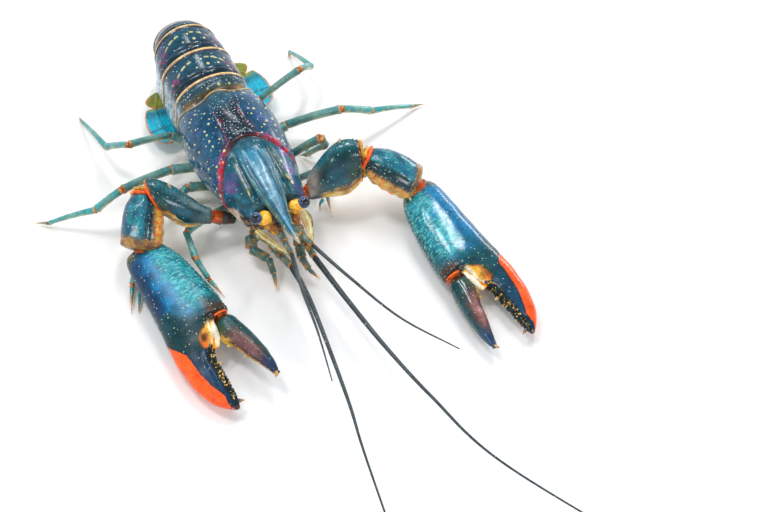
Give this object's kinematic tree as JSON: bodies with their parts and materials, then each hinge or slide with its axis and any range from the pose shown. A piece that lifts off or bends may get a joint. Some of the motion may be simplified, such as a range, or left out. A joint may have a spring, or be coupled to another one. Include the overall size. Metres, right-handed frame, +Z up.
{
  "type": "redclaw crayfish",
  "caption": "Whole blue-green freshwater crayfish standing with large red-edged claws reaching forward, long curved feelers and its tail curled under.",
  "frame": {"origin": "centre of the whole animal's box at the ground it stands on", "axes": "+Z up; the head, claws and feelers point along -Y, the tail is towards +Y, the animal's left is +X"},
  "size_m": [0.1994, 0.3318, 0.0437],
  "materials": {
    "shell_blue": "glossy natural shell",
    "shell_teal": "glossy natural shell",
    "claw_blue": "glossy natural shell",
    "fan_cyan": "glossy natural shell",
    "joint_orange": "smooth natural surface",
    "leg_teal": "glossy natural shell",
    "feeler_grey": "glossy natural shell",
    "scale_cream": "glossy natural shell",
    "stalk_yellow": "glossy natural shell",
    "eye_dark": "glossy natural shell",
    "underside": "smooth natural surface"
  },
  "bodies": {
    "root": {"carapace": "shell_blue", "sternum": "underside", "abdomen_1": "shell_blue", "abdomen_2": "shell_blue", "abdomen_3": "shell_blue", "abdomen_4": "shell_blue", "abdomen_5": "shell_blue", "abdomen_6": "shell_blue", "telson": "shell_blue", "uropod_base_right": "underside", "uropod_inner_right": "fan_cyan", "uropod_outer_right": "fan_cyan", "eye_stalk_right": "stalk_yellow", "eye_right": "eye_dark", "antennal_scale_right": "scale_cream", "antenna_base_right": "leg_teal", "antenna_right": "feeler_grey", "antennule_base_right": "leg_teal", "antennule_right": "feeler_grey", "maxilliped_right": "leg_teal", "cheliped_ischium_right": "joint_orange", "cheliped_merus_right": "shell_teal", "cheliped_carpus_right": "shell_teal", "claw_palm_right": "claw_blue", "claw_finger_right": "claw_blue", "walking_leg_1_right": "leg_teal", "walking_leg_2_right": "leg_teal", "walking_leg_3_right": "leg_teal", "walking_leg_4_right": "leg_teal", "walking_leg_1_finger_right": "leg_teal", "walking_leg_2_finger_right": "leg_teal", "uropod_base_left": "underside", "uropod_inner_left": "fan_cyan", "uropod_outer_left": "fan_cyan", "eye_stalk_left": "stalk_yellow", "eye_left": "eye_dark", "antennal_scale_left": "scale_cream", "antenna_base_left": "leg_teal", "antenna_left": "feeler_grey", "antennule_base_left": "leg_teal", "antennule_left": "feeler_grey", "maxilliped_left": "leg_teal", "cheliped_ischium_left": "joint_orange", "cheliped_merus_left": "shell_teal", "cheliped_carpus_left": "shell_teal", "claw_palm_left": "claw_blue", "claw_finger_left": "claw_blue", "walking_leg_1_left": "leg_teal", "walking_leg_2_left": "leg_teal", "walking_leg_3_left": "leg_teal", "walking_leg_4_left": "leg_teal", "walking_leg_1_finger_left": "leg_teal", "walking_leg_2_finger_left": "leg_teal"}
  },
  "joints": []
}
